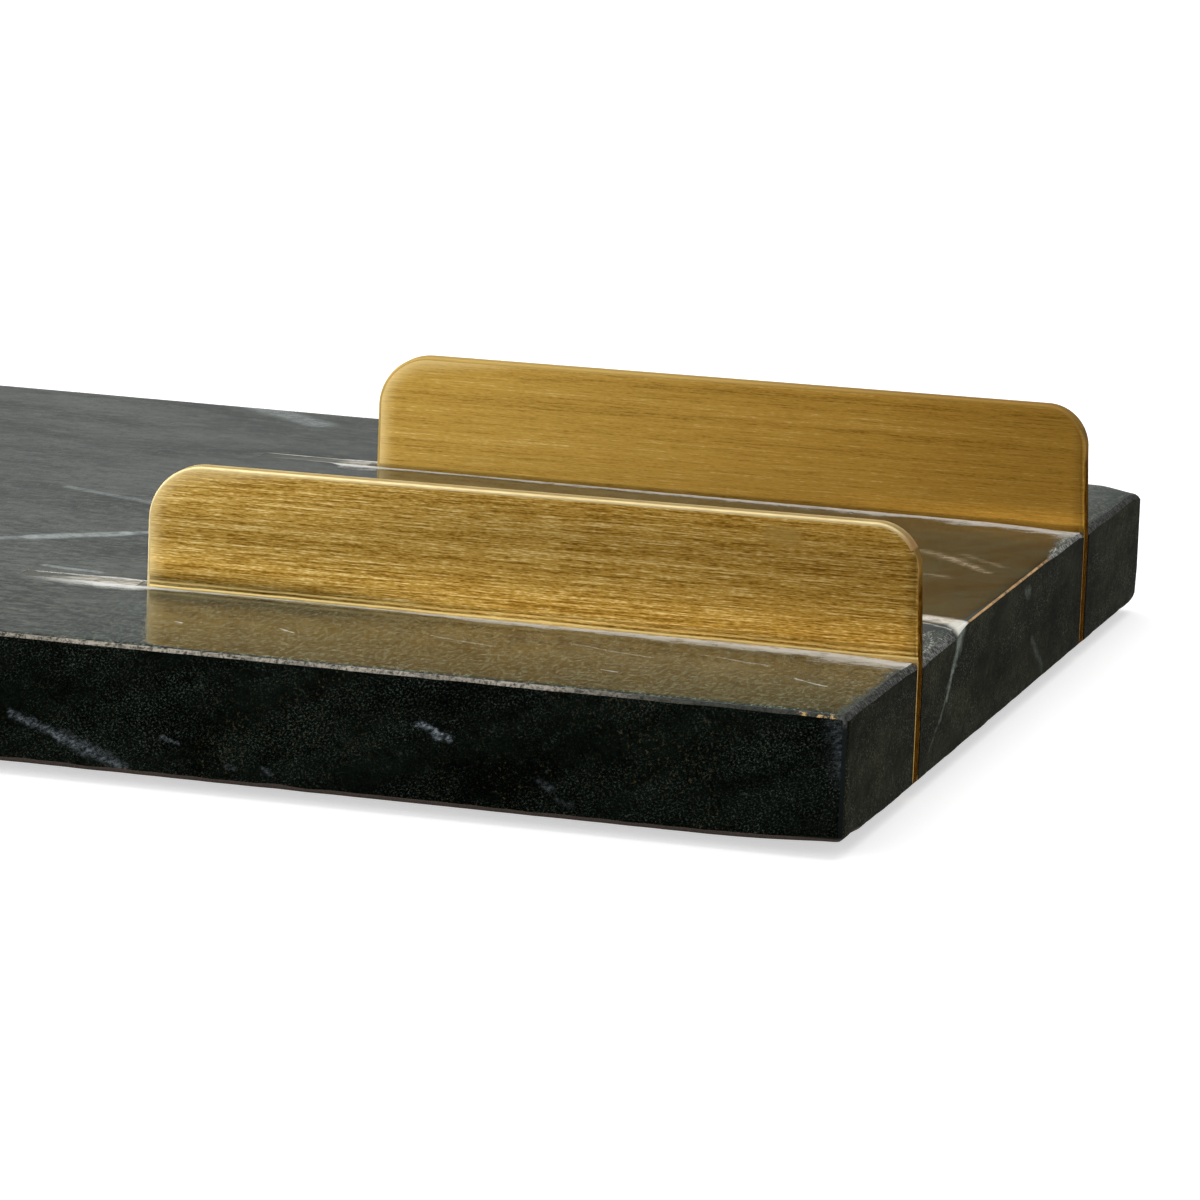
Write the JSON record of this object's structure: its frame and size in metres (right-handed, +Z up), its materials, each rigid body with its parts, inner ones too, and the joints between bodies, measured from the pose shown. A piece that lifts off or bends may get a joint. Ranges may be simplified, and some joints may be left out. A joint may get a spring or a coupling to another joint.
{
  "type": "marble tray",
  "caption": "Long polished dark marble tray with brushed brass plates standing in saw kerfs at both ends, on low rubber feet.",
  "frame": {"origin": "on the table under the middle of the tray", "axes": "+X along the tray's length, towards the end that the picture shows; +Y across it, from the front long side to the back; +Z up"},
  "size_m": [0.4, 0.2, 0.0424],
  "materials": {
    "marble": "polished dark green-black marble with fine grey flecks, pale veins and dull eased edges",
    "brass": "antique brass, brushed along its length",
    "filler": "matte pale stone filler",
    "rubber": "matte black rubber"
  },
  "bodies": {
    "root": {"marble_slab": "marble", "brass_plate_right_front": "brass", "brass_plate_right_back": "brass", "brass_plate_left_front": "brass", "brass_plate_left_back": "brass", "kerf_filler_right_front": "filler", "kerf_filler_right_back": "filler", "kerf_filler_left_front": "filler", "kerf_filler_left_back": "filler", "rubber_foot_right_front": "rubber", "rubber_foot_right_back": "rubber", "rubber_foot_left_front": "rubber", "rubber_foot_left_back": "rubber"}
  },
  "joints": []
}
